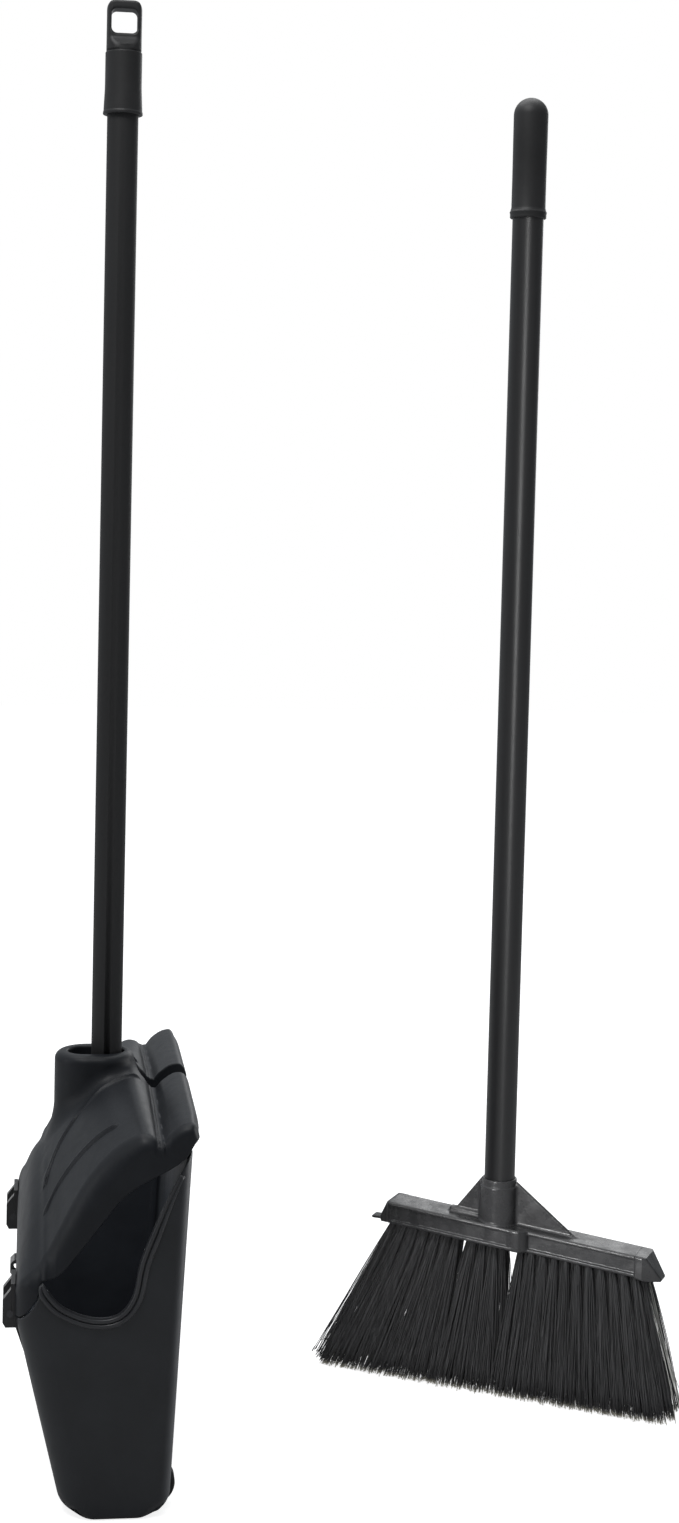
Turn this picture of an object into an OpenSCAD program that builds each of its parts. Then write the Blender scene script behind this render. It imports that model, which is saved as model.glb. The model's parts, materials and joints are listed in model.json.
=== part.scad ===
// Upright lobby dust pan with a hinged hood, and its angle-cut broom.
// +Z is up and the floor is z = 0. +X is the pan's front, where its floor plate and lip are.
// The origin is on the floor, under the axis of the pan's handle.

/* [Dust pan] */
// Half of the pan's width across its side walls
half_w = 145; // [130:1:160]
// Wall thickness of the moulded pan and hood
wall = 2.8; // [2:0.1:3.5]
// Height of the pan's front lip above its base
lip_z = 254; // [250:1:256]
// Height of the hinge line above the base
hinge_z = 137; // [136:0.5:138]
// Plan radius of the pan's two rear corners
rear_corner_r = 20; // [16:1:24]

/* [Pan handle] */
// Outer diameter of the pan's handle tube
pan_tube_d = 22.2; // [20:0.1:22.4]
// Height of the top of the hanging loop
pan_top_z = 1044; // [940:1:1100]
// Tube wall thickness
tube_wall = 0.9; // [0.6:0.1:1.5]

/* [Wheels] */
// Radius of the two rear wheels
wheel_r = 15; // [13:0.5:15.5]
// Width of a wheel
wheel_w = 12; // [8:1:13]
// Distance of each wheel's middle from the pan's centre plane
wheel_y = 118; // [100:1:124]

/* [Broom] */
// Outer diameter of the broom's handle tube
broom_tube_d = 23.8; // [22.2:0.1:24.2]
// Height of the top of the broom's grip
broom_top_z = 1004; // [900:1:1100]
// Where the broom stands, in front of the pan's handle
broom_x = 312; // [300:1:420]
// Where the broom stands, to the pan's far side
broom_y = 75; // [60:1:140]
// Turn of the broom's head about its handle
broom_turn = -30; // [-40:1:0]
// Drop of the head from its left end to its right end, in degrees
head_slope = 4.4; // [3:0.1:6]

/* [Hidden] */
fine = 64;
round_fn = 40;
slate = [0.10, 0.11, 0.13];
black = [0.05, 0.05, 0.055];
steel = [0.62, 0.62, 0.64];
fibre = [0.16, 0.16, 0.17];

// The rear wall leans back and the floor plate leans forward as they rise
rear_x = -63;
front_x = 60;
rear_foot_x = -29.5;
rear_lean = 0.243;
front_foot_x = 43;
front_lean = 0.0467;
rear_heel_r = 14;
front_heel_r = 18;
side_heel_r = 4;
front_corner_r = 8;
function rear_at(z) = rear_foot_x - rear_lean * z;
function front_at(z) = front_foot_x + front_lean * z;
function heel(z, r) = z >= r ? 0 : r - sqrt(r * r - (r - z) * (r - z));

// A smooth curve through a list of points, with n steps in each span
function along(p, i, t) = let (
    a = p[max(i - 1, 0)], b = p[i], c = p[i + 1], d = p[min(i + 2, len(p) - 1)])
    0.5 * (2 * b + (c - a) * t + (2 * a - 5 * b + 4 * c - d) * t * t
    + (3 * b - a - 3 * c + d) * t * t * t);
function smooth(p, n = 5) =
    [for (i = [0 : len(p) - 2], s = [0 : n - 1]) along(p, i, s / n), p[len(p) - 1]];

// Outlines seen from the side, as [x, z]
seam = [[rear_x, hinge_z], [-58, 140], [-52, 147], [-47, 157], [-45, 165]];
pan_dip = [[-45, 165], [-33, 150], [-13, 141], [5, 142], [16, 155], [22, 182],
    [37, 219], [54, lip_z]];
cheek_edge = [[-45, 166], [-32, 172], [-9, 201], [12, 226], [46, 246], [56, 259], [61, 263]];
seam_gap = 0.6;
bead_w = 4.2;
bead_out = 1.2;
bead_depth = 3.6;
bead_rear_x = -43;
bead_foot_z = 138;
guide_x = 50.5;
guide_y = 130;
guide_t = 3.2;
guide_w = 6;
guide_h = 15.5;
guide_foot = 8;
hole = 12;
cross_hole = 60;

// Heights of the hood's top along its middle and along its two ends, as [x, z]
middle_top = [[-63, 165], [-59, 186], [-56, 199], [-44, 222], [-37, 236], [-20, 257],
    [-6, 270], [8, 276], [20, 277], [27, 272], [33.5, 264], [40, 270], [50, 276],
    [56, 275], [60, 269]];
end_top = [[-63, 157.5], [-55, 163], [-44, 171], [-36, 187], [-21, 218], [-1, 245],
    [12, 257], [22, 263], [28, 262], [33.5, 258], [40, 265], [50, 271], [56, 272],
    [60, 268]];
hood_stations = [-63, -60, -56, -50, -44, -37, -28, -18, -8, 4, 14, 22, 28, 33.5,
    39, 46, 53, 57, 60];
shoulder_r = 10;
flat_share = 0.2;

// Collar and handle socket
collar_r = 24;
collar_back = -13.5;
collar_front = -4;
collar_top_z = 290;
collar_rim_r = 6;
rim_steps = 5;
collar_skirt_z = 238;
slot_r = 13;
slot_front = 0;
slot_back = -15;
plug_r = 12.9;
bushing_r = 15.5;
tube_foot_z = 206;
bushing_foot_z = 200;
plug_top_z = 266;
screw_z = 222;
screw_r = 2.2;
screw_head_r = 4;
screw_head_h = 2.4;
notch_r = 12.5;
notch_x = 33.5;
notch_run = 50;
notch_low = 230;
notch_high = 300;
notch_flange = 2.4;
notch_depth = 12;

// Hinge
hinge_x = -66.5;
pin_r = 2.5;
running = 0.06;
bracket_y = 107;
bracket_w = 30;
ear_w = 6;
ear_gap = 0.6;
ear_room_down = 11;
knuckle_w = bracket_w - 2 * ear_w - 2 * ear_gap;
knuckle_r = 3.7;
rivet_r = 2;
rivet_head_r = 3.2;
rivet_head_h = 1.2;
bracket_rivet_y = 5;
bracket_rivet_z = 148.5;
knuckle_rivets_z = [115, 123];
plate_t = 3;
flush_t = 1;

// Hanging cap
sleeve_foot_z = pan_top_z - 79.5;
loop_foot_z = pan_top_z - 35;
loop_half_w = 12.8;
loop_depth = 16;
loop_corner_r = 6.5;
cap_floor = 6;
eye_w = 18.4;
eye_h = 17;
eye_r = 3.5;
eye_foot = 12;

// Wheels
wheel_x = 33;
wheel_z = 16;
well_w = 16;
well_wall = 2.5;
well_r = 16.5;
well_top_z = 32;
pin_end = 2;
hub_r = 5.5;
tread_t = 3;
dish = 2.5;
tread_bevel = 1;

// Broom head, in its own frame: +X along the head, -Y towards its front, origin under the handle
head_z = 126;
head_left = -88;
head_right = 122;
head_h = 17;
head_d = 25;
head_crown = 7.5;
skirt_h = 14;
socket_r = 14.8;
socket_top_z = 168;
socket_neck_r = 13.4;
socket_neck_h = 6;
socket_foot_z = 120;
tube_seat_z = 128;
web_t = 5;
web_left = -38;
web_right = 68;
thread_r = 9.3;
thread_core_r = 8.5;
thread_h = 10;
thread_pitch = 3;
plug_h = 26;
grip_h = 91;
grip_dome = 13;
grip_floor = 14;
split_x = 29;
rim = 3;
staple_pitch = 14;

// A closed solid through a stack of loops that all have the same number of points
module loft(loops) {
    n = len(loops[0]);
    levels = len(loops);
    polyhedron(
        points = [for (l = loops, p = l) p],
        faces = concat(
            [[for (i = [0 : n - 1]) i]],
            [for (k = [0 : levels - 2], i = [0 : n - 1], h = [0, 1])
                let (a = k * n + i, b = k * n + (i + 1) % n)
                h == 0 ? [a, a + n, b] : [b, a + n, b + n]],
            [[for (i = [n - 1 : -1 : 0]) (levels - 1) * n + i]]));
}

// A level rectangle with rounded corners, counter-clockwise from above
function round_loop(x0, x1, w, r0, r1, z, n = 6) = concat(
    [for (i = [0 : n]) let (a = 180 + 90 * i / n) [x0 + r0 + r0 * cos(a), -w + r0 + r0 * sin(a), z]],
    [for (i = [0 : n]) let (a = 270 + 90 * i / n) [x1 - r1 + r1 * cos(a), -w + r1 + r1 * sin(a), z]],
    [for (i = [0 : n]) let (a = 90 * i / n) [x1 - r1 + r1 * cos(a), w - r1 + r1 * sin(a), z]],
    [for (i = [0 : n]) let (a = 90 + 90 * i / n) [x0 + r0 + r0 * cos(a), w - r0 + r0 * sin(a), z]]);

// The pan's body, pulled in by t on every side
module pan_body(t, levels) {
    loft([for (z = levels) round_loop(
        rear_at(z) + heel(z - t, rear_heel_r - t) + t,
        front_at(z) - heel(z - t, front_heel_r - t) - t,
        half_w - heel(z - t, side_heel_r) - t,
        rear_corner_r - t, front_corner_r - t, z)]);
}

// Everything under the pan's rim, from the side
module under_rim() {
    polygon(concat([[-80, -5], [70, -5], [70, lip_z]],
        [for (i = [len(smooth(pan_dip)) - 1 : -1 : 0]) smooth(pan_dip)[i]],
        [for (i = [len(smooth(seam)) - 2 : -1 : 0]) smooth(seam)[i]],
        [[-80, hinge_z]]));
}

// Everything above the hood's lower edge, from the side
module over_edge() {
    low = concat([for (p = smooth(seam)) p + [0, seam_gap]], smooth(cheek_edge));
    polygon(concat([[-80, hinge_z + seam_gap]], low, [[70, 263], [70, 320], [-80, 320]]));
}

module across(w) {
    rotate([90, 0, 0]) linear_extrude(height = 2 * w, center = true) children();
}

module well_block(w, z, x) {
    for (s = [-1, 1])
        translate([x, s * wheel_y - w / 2, -1]) cube([60, w, z + 1]);
}

module pan_shell() {
    color(slate) difference() {
        union() {
            intersection() {
                difference() {
                    pan_body(0, [0, 1, 3, 6, 10, 14, 18, 60, 137, 200, 262]);
                    difference() {
                        pan_body(wall, [wall, 4, 6, 9, 13, 18, 60, 137, 200, 264]);
                        well_block(well_w + 2 * well_wall, well_top_z + well_wall,
                            wheel_x - well_r - well_wall);
                    }
                }
                across(half_w + 5) under_rim();
            }
            for (s = [-1, 1]) {
                // Rolled bead along each side wall's edge
                translate([0, s * (half_w + bead_out - bead_w / 2), 0]) across(bead_w / 2) intersection() {
                    difference() {
                        under_rim();
                        offset(delta = -bead_depth) under_rim();
                    }
                    translate([bead_rear_x, bead_foot_z]) square([96, lip_z - bead_foot_z - 1]);
                }
                // Guide that runs up inside the hood's front corner
                translate([guide_x, s * guide_y - guide_w / 2, lip_z - guide_foot])
                    cube([guide_t, guide_w, guide_h]);
            }
        }
        well_block(well_w, well_top_z, wheel_x - well_r);
        for (s = [-1, 1]) {
            translate([wheel_x, s * wheel_y, wheel_z]) rotate([90, 0, 0])
                cylinder(r = pin_r, h = well_w + 2 * pin_end, center = true, $fn = fine);
            // Room for the hinge bracket's ears
            for (e = [-1, 1])
                translate([rear_x - 5, s * bracket_y + e * (bracket_w - ear_w) / 2
                    - ear_w / 2 - ear_gap, hinge_z - ear_room_down])
                    cube([14, ear_w + 2 * ear_gap, 20]);
            for (z = knuckle_rivets_z)
                translate([rear_at(z), s * bracket_y, z]) rotate([0, 90, 0])
                    cylinder(r = rivet_r, h = hole, center = true, $fn = fine);
        }
    }
}

// Half of the hood's width at x, and its top's height
function half_at(x) =
    x < rear_x + rear_corner_r
    ? half_w - rear_corner_r + sqrt(pow(rear_corner_r, 2) - pow(rear_x + rear_corner_r - x, 2))
    : x > front_x - front_corner_r
    ? half_w - front_corner_r + sqrt(pow(front_corner_r, 2) - pow(x - front_x + front_corner_r, 2))
    : half_w;
function top_at(x, y) = let (
    u = abs(y) / half_w,
    share = u < flat_share ? 1 : (1 - u) / (1 - flat_share),
    past = max(0, abs(y) - (half_at(x) - shoulder_r)))
    lookup(x, end_top) + (lookup(x, middle_top) - lookup(x, end_top)) * share
    - shoulder_r + sqrt(shoulder_r * shoulder_r - past * past);

// The hood's solid form, pulled in by t and closed at a flat base
module hood_form(t, base_z) {
    across_at = [-1, -0.985, -0.965, -0.93, -0.75, -0.55, -0.35, -0.2, 0,
        0.2, 0.35, 0.55, 0.75, 0.93, 0.965, 0.985, 1];
    xs = hood_stations;
    n = len(xs);
    m = len(across_at);
    mid = (rear_x + front_x) / 2;
    shrink_x = 1 - 2 * t / (front_x - rear_x);
    shrink_y = 1 - t / half_w;
    tops = [for (x = xs, v = across_at) let (y = v * half_at(x))
        [mid + (x - mid) * shrink_x, y * shrink_y, top_at(x, y) - t]];
    edge = concat([for (i = [0 : n - 1]) i * m], [for (j = [1 : m - 1]) (n - 1) * m + j],
        [for (i = [n - 2 : -1 : 0]) i * m + m - 1], [for (j = [m - 2 : -1 : 1]) j]);
    e = len(edge);
    feet = [for (k = edge) [tops[k][0], tops[k][1], base_z]];
    polyhedron(points = concat(tops, feet), faces = concat(
        [for (i = [0 : n - 2], j = [0 : m - 2], h = [0, 1]) let (a = i * m + j)
            h == 0 ? [a, a + 1, a + m] : [a + 1, a + m + 1, a + m]],
        [for (k = [0 : e - 1], h = [0, 1]) let (
            q = (k + 1) % e, a = edge[k], b = edge[q])
            h == 0 ? [a, b, n * m + k] : [b, n * m + q, n * m + k]],
        [[for (k = [0 : e - 1]) n * m + k]]));
}

module oblong(r, back, front, z0, z1) {
    hull() for (x = [back, front])
        translate([x, 0, z0]) cylinder(r = r, h = z1 - z0, $fn = round_fn);
}

module hood() {
    color(slate) difference() {
        union() {
            intersection() {
                difference() {
                    hood_form(0, 120);
                    difference() {
                        hood_form(wall, 110);
                        // Turned-down edge round the notch
                        difference() {
                            oblong(notch_r + notch_flange, notch_x, notch_x + notch_run,
                                notch_low, notch_high);
                            hood_form(notch_depth, 100);
                        }
                    }
                }
                across(half_w + 5) over_edge();
            }
            oblong(collar_r, collar_back, collar_front, collar_skirt_z, collar_top_z - collar_rim_r);
            for (i = [0 : rim_steps - 1]) let (a = 90 * (i + 0.5) / rim_steps)
                oblong(collar_r - collar_rim_r * (1 - cos(a)), collar_back, collar_front,
                    collar_top_z - collar_rim_r - 1, collar_top_z - collar_rim_r * (1 - sin(a)));
        }
        oblong(slot_r, slot_back, slot_front, collar_skirt_z - 1, collar_top_z + 1);
        // Parking notch for the broom's handle
        oblong(notch_r, notch_x, notch_x + notch_run, notch_low, notch_high);
        for (s = [-1, 1]) {
            // Room for the pan's knuckles
            translate([rear_x - 2, s * bracket_y - knuckle_w / 2 - ear_gap, hinge_z - 2])
                cube([8, knuckle_w + 2 * ear_gap, 8]);
            for (e = [-1, 1])
                translate([rear_x, s * bracket_y + e * bracket_rivet_y, bracket_rivet_z]) rotate([0, 90, 0])
                    cylinder(r = rivet_r, h = hole, center = true, $fn = fine);
        }
    }
}

module plug_outline() {
    for (x = [slot_back, slot_front]) translate([x, 0]) circle(r = plug_r, $fn = fine);
    translate([slot_back, -plug_r]) square([slot_front - slot_back, 2 * plug_r]);
}

module socket_bushing() {
    color(black) difference() {
        union() {
            translate([0, 0, collar_skirt_z])
                linear_extrude(height = plug_top_z - collar_skirt_z) plug_outline();
            translate([0, 0, bushing_foot_z])
                cylinder(r = bushing_r, h = collar_skirt_z - bushing_foot_z, $fn = fine);
        }
        translate([0, 0, tube_foot_z])
            cylinder(r = pan_tube_d / 2, h = 100, $fn = fine);
        translate([0, 0, screw_z]) rotate([90, 0, 0])
            cylinder(r = screw_r, h = cross_hole, center = true, $fn = fine);
    }
}

module socket_screw() {
    color(steel) translate([0, 0, screw_z]) rotate([90, 0, 0]) {
        cylinder(r = screw_r, h = 2 * bushing_r, center = true, $fn = fine);
        translate([0, 0, bushing_r]) cylinder(r = screw_head_r, h = screw_head_h, $fn = fine);
    }
}

module tube(d, foot, top) {
    difference() {
        translate([0, 0, foot]) cylinder(d = d, h = top - foot, $fn = fine);
        translate([0, 0, foot - 1]) cylinder(d = d - 2 * tube_wall, h = top - foot + 2, $fn = fine);
    }
}

module pan_tube() {
    color(black) difference() {
        tube(pan_tube_d, tube_foot_z, loop_foot_z - cap_floor);
        translate([0, 0, screw_z]) rotate([90, 0, 0])
            cylinder(r = screw_r, h = cross_hole, center = true, $fn = fine);
    }
}

module hang_cap() {
    tube_r = pan_tube_d / 2;
    color(black) {
        rotate_extrude($fn = fine) polygon([
            [tube_r, sleeve_foot_z], [13.1, sleeve_foot_z], [13.8, sleeve_foot_z + 2.5],
            [13, sleeve_foot_z + 20], [12.7, loop_foot_z - 2], [12.1, loop_foot_z - 1.2],
            [12.1, loop_foot_z], [0, loop_foot_z], [0, loop_foot_z - cap_floor],
            [tube_r, loop_foot_z - cap_floor]]);
        difference() {
            intersection() {
                translate([0, 0, loop_foot_z])
                    cylinder(r = loop_half_w, h = pan_top_z - loop_foot_z, $fn = fine);
                across(loop_depth / 2) loop_outline();
            }
            across(loop_depth) translate([-eye_w / 2, loop_foot_z + eye_foot])
                rounded(eye_w, eye_h, eye_r);
        }
    }
}

module loop_outline() {
    // It starts below the sleeve's top, so that only its upper corners are round
    translate([-loop_half_w, loop_foot_z - 8])
        rounded(2 * loop_half_w, pan_top_z - loop_foot_z + 8, loop_corner_r);
}

module rounded(w, h, r) {
    translate([r, 0]) square([w - 2 * r, h]);
    translate([0, r]) square([w, h - 2 * r]);
    for (x = [r, w - r], z = [r, h - r]) translate([x, z]) circle(r = r, $fn = fine);
}

// Hinge bracket on the hood: a back plate with two ears that carry the pin
module hinge_bracket(s) {
    color(black) translate([0, s * bracket_y, 0]) difference() {
        union() {
            translate([rear_x - plate_t, -bracket_w / 2, hinge_z + 6.5]) cube([plate_t, bracket_w, 14.5]);
            for (e = [-1, 1]) translate([0, e * (bracket_w - ear_w) / 2, 0])
                across(ear_w / 2) polygon([[rear_x, 158], [-71.5, 147], [-71.5, 131], [-69.5, 127.5],
                    [rear_at(127.5) - 0.1, 127.5], [rear_x, hinge_z]]);
        }
        translate([hinge_x, 0, hinge_z]) rotate([90, 0, 0])
            cylinder(r = pin_r, h = bracket_w + 2, center = true, $fn = fine);
        for (e = [-1, 1]) translate([rear_x, e * bracket_rivet_y, bracket_rivet_z]) rotate([0, 90, 0])
            cylinder(r = rivet_r, h = hole, center = true, $fn = fine);
    }
}

module hinge_bracket_near() { hinge_bracket(-1); }
module hinge_bracket_far() { hinge_bracket(1); }

// A rivet along X, headed at its far end
module rivet(length) {
    rotate([0, 90, 0]) {
        cylinder(r = rivet_r, h = length, $fn = fine);
        translate([0, 0, length]) cylinder(r = rivet_head_r, h = rivet_head_h, $fn = fine);
    }
}

module bracket_rivets() {
    color(steel) for (s = [-1, 1], e = [-1, 1])
        translate([rear_x - plate_t, s * bracket_y + e * bracket_rivet_y, bracket_rivet_z])
            rivet(plate_t + wall + 0.1);
}

module hinge_pins() {
    color(steel) for (s = [-1, 1])
        translate([hinge_x, s * bracket_y, hinge_z]) rotate([90, 0, 0])
            cylinder(r = pin_r, h = bracket_w, center = true, $fn = fine);
}

// Knuckle on the pan: a plate that follows the leaning rear wall, and a barrel round the pin
module hinge_knuckle(s) {
    color(black) translate([0, s * bracket_y, 0]) difference() {
        union() {
            across(knuckle_w / 2) polygon([[rear_at(109), 109], [rear_at(109) - 1, 109],
                [rear_at(128) - plate_t, 128],
                [hinge_x - 2.5, hinge_z - 3], [hinge_x, hinge_z],
                [rear_at(hinge_z - 0.5), hinge_z - 0.5]]);
            translate([hinge_x, 0, hinge_z]) rotate([90, 0, 0])
                cylinder(r = knuckle_r, h = knuckle_w, center = true, $fn = fine);
        }
        translate([hinge_x, 0, hinge_z]) rotate([90, 0, 0])
            cylinder(r = pin_r + running, h = bracket_w, center = true, $fn = fine);
        for (z = knuckle_rivets_z) translate([rear_at(z), 0, z]) rotate([0, 90, 0])
            cylinder(r = rivet_r, h = hole, center = true, $fn = fine);
    }
}

module hinge_knuckle_near() { hinge_knuckle(-1); }
module hinge_knuckle_far() { hinge_knuckle(1); }

module knuckle_rivets() {
    // Set flush in the knuckle. The wall leans, so the heads inside stand off by their rise.
    stand_off = rivet_head_r * rear_lean + 0.05;
    color(steel) for (s = [-1, 1], z = knuckle_rivets_z)
        translate([rear_at(z) - flush_t, s * bracket_y, z]) rivet(flush_t + wall + stand_off + 0.1);
}

module catch_loop() {
    color(black) across(8) difference() {
        polygon([[rear_at(120), 120], [-64.5, 123], [-67.5, 127], [-67.5, 133.5],
            [-64.5, 136.5], [rear_at(136.5), 136.5]]);
        polygon([[rear_at(123.5) - 1.2, 123.5], [-64.4, 125.8], [-65.3, 128],
            [-65.3, 132], [-64.4, 133.6], [rear_at(133.6) - 1.2, 133.6]]);
    }
}

module wheel_pins() {
    color(steel) for (s = [-1, 1])
        translate([wheel_x, s * wheel_y, wheel_z]) rotate([90, 0, 0])
            cylinder(r = pin_r, h = well_w + 2 * pin_end, center = true, $fn = fine);
}

module wheel(s) {
    half = wheel_w / 2;
    color(black) translate([wheel_x, s * wheel_y, wheel_z]) rotate([90, 0, 0])
        rotate_extrude($fn = fine) polygon([
            [pin_r + running, -half], [hub_r, -half], [hub_r, -half + dish],
            [wheel_r - tread_t, -half + dish], [wheel_r - tread_t, -half],
            [wheel_r - tread_bevel, -half], [wheel_r, -half + tread_bevel],
            [wheel_r, half - tread_bevel], [wheel_r - tread_bevel, half],
            [wheel_r - tread_t, half], [wheel_r - tread_t, half - dish],
            [hub_r, half - dish], [hub_r, half], [pin_r + running, half]]);
}

module wheel_near() { wheel(-1); }
module wheel_far() { wheel(1); }

module at_broom() {
    translate([broom_x, broom_y, 0]) rotate([0, 0, broom_turn]) children();
}

module broom_grip() {
    tube_r = broom_tube_d / 2;
    color(black) at_broom() rotate_extrude($fn = fine) polygon(concat(
        [[tube_r, broom_top_z - grip_h], [tube_r + 1.1, broom_top_z - grip_h],
        [tube_r + 1.9, broom_top_z - grip_h + 4]],
        [for (i = [0 : 8]) let (a = 11.25 * i)
            [(tube_r + 1.3) * cos(a), broom_top_z - grip_dome + grip_dome * sin(a)]],
        [[0, broom_top_z - grip_floor], [tube_r, broom_top_z - grip_floor]]));
}

module broom_tube() {
    color(black) at_broom() tube(broom_tube_d, tube_seat_z, broom_top_z - grip_floor);
}

// Moulded end that closes the tube's foot and screws into the head
module thread_plug() {
    inner_r = broom_tube_d / 2 - tube_wall;
    color(black) at_broom() {
        translate([0, 0, tube_seat_z - thread_h]) cylinder(r = thread_core_r, h = thread_h, $fn = fine);
        translate([0, 0, tube_seat_z]) cylinder(r = inner_r, h = plug_h, $fn = fine);
        for (i = [0 : 2]) translate([0, 0, tube_seat_z - thread_h + thread_pitch * (i + 0.5)])
            cylinder(r = thread_r, h = 1.4, $fn = fine);
    }
}

// Height of the head's top at x along it
function head_top(x) = head_z + head_crown - x * tan(head_slope);

module head_bar(x0, x1, y0, y1, down) {
    translate([0, y1, 0]) rotate([90, 0, 0]) linear_extrude(height = y1 - y0)
        polygon([[x0, head_top(x0)], [x1, head_top(x1)], [x1, head_top(x1) - down],
            [x0, head_top(x0) - down]]);
}

module broom_head() {
    color(black) at_broom() difference() {
        union() {
            // The front is proud on the left part, and the back on the right part
            head_bar(head_left, split_x, -head_d / 2 - rim, head_d / 2, head_h);
            head_bar(split_x - 2, head_right, -head_d / 2, head_d / 2 + rim, head_h);
            // Sloping end skirts
            translate([0, head_d / 2, 0]) rotate([90, 0, 0]) linear_extrude(height = head_d) {
                polygon([[head_left + 4, head_top(head_left) - 1], [head_left, head_top(head_left) - 1],
                    [-102, 127], [-102, 124.5], [head_left, head_top(head_left) - 1 - skirt_h],
                    [head_left + 4, head_top(head_left) - 1 - skirt_h]]);
                polygon([[head_right - 4, head_top(head_right) - 1], [head_right, head_top(head_right) - 1],
                    [134, 108.5], [134, 106], [head_right, head_top(head_right) - 1 - skirt_h],
                    [head_right - 4, head_top(head_right) - 1 - skirt_h]]);
            }
            // Web on each side of the socket
            across(web_t / 2) polygon([[-14, socket_top_z - 2], [web_left, head_top(web_left)],
                [web_right, head_top(web_right)], [14, socket_top_z - 2]]);
            translate([0, 0, socket_foot_z])
                cylinder(r = socket_r, h = socket_top_z - socket_neck_h - socket_foot_z, $fn = fine);
            translate([0, 0, socket_top_z - socket_neck_h])
                cylinder(r = socket_neck_r, h = socket_neck_h, $fn = fine);
        }
        translate([0, 0, tube_seat_z]) cylinder(d = broom_tube_d, h = socket_top_z, $fn = fine);
        translate([0, 0, tube_seat_z - thread_h]) cylinder(r = thread_r, h = 2 * thread_h, $fn = fine);
        staples(2);
    }
}

// Flat wire anchors that hold each tuft's fold in the head, extended down by open
module staples(open) {
    for (x = [head_left + 10 : staple_pitch : head_right - 8], y = [-6.5, 6.5])
        if (abs(x) > 12)
            translate([x - 1.6, y - 0.6, head_top(x) - head_h + 0.5 - open]) cube([3.2, 1.2, 6.5 + open]);
}

module tuft_staples() {
    color(steel) at_broom() staples(0);
}

// One half of the bristle field, from its root line on the head to the floor
module bristle_field(x0, x1, tip0, tip1) {
    root_d = 10;
    tip_d = 19;
    root = function (x) head_top(x) - head_h;
    color(fibre) at_broom() polyhedron(
        points = [[tip0, -tip_d, 0], [tip1, -tip_d, 0], [tip1, tip_d, 0], [tip0, tip_d, 0],
            [x0, -root_d, root(x0)], [x1, -root_d, root(x1)],
            [x1, root_d, root(x1)], [x0, root_d, root(x0)]],
        faces = [[0, 1, 2, 3], [0, 4, 1], [4, 5, 1], [1, 5, 6, 2], [2, 6, 3], [6, 7, 3],
            [3, 7, 4, 0], [7, 6, 5, 4]]);
}

module bristles_left() { bristle_field(head_left + 2, 10, -147, 5); }
module bristles_right() { bristle_field(16, head_right - 1, 5.6, 144); }

hang_cap();
pan_tube();
hood();
socket_bushing();
socket_screw();
hinge_bracket_near();
hinge_bracket_far();
bracket_rivets();
hinge_pins();
pan_shell();
hinge_knuckle_near();
hinge_knuckle_far();
knuckle_rivets();
catch_loop();
wheel_pins();
wheel_near();
wheel_far();
broom_grip();
broom_tube();
thread_plug();
broom_head();
tuft_staples();
bristles_left();
bristles_right();
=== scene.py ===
import json
import math

import bpy
import numpy as np
from mathutils import Matrix, Vector

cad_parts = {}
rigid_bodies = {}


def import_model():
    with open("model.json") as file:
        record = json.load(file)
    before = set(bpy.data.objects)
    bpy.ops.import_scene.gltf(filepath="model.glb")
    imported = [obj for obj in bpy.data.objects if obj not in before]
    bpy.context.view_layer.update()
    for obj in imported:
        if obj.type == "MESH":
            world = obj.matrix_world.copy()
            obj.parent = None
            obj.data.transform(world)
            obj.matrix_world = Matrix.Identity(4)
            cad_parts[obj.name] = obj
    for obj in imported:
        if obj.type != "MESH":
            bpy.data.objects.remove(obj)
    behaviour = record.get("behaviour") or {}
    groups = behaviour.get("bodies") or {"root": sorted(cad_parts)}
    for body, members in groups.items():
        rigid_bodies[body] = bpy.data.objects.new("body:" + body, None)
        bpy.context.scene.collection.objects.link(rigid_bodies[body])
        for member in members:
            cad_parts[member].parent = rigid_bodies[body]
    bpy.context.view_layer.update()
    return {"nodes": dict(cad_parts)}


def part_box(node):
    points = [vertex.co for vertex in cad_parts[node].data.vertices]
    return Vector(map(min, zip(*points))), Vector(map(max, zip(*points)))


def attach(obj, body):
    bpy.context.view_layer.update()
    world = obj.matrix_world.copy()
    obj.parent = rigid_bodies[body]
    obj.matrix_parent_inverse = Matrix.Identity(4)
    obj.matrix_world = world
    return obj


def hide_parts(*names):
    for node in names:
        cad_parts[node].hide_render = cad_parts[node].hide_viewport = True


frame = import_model()
MM = 0.001  # the shapes below are worked out in millimetres


# ---- Shape tools ---------------------------------------------------------------------

CORNERS = [(i, j, k) for i in (0, 1) for j in (0, 1) for k in (0, 1)]
EDGES = [(a, b) for a in CORNERS for b in CORNERS
         if a < b and sum(abs(p - q) for p, q in zip(a, b)) == 1]
SLOPE_STEP = 0.02  # mm, for slopes worked out from differences
LEAST_SLOPE_SQUARED = 0.05


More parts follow.
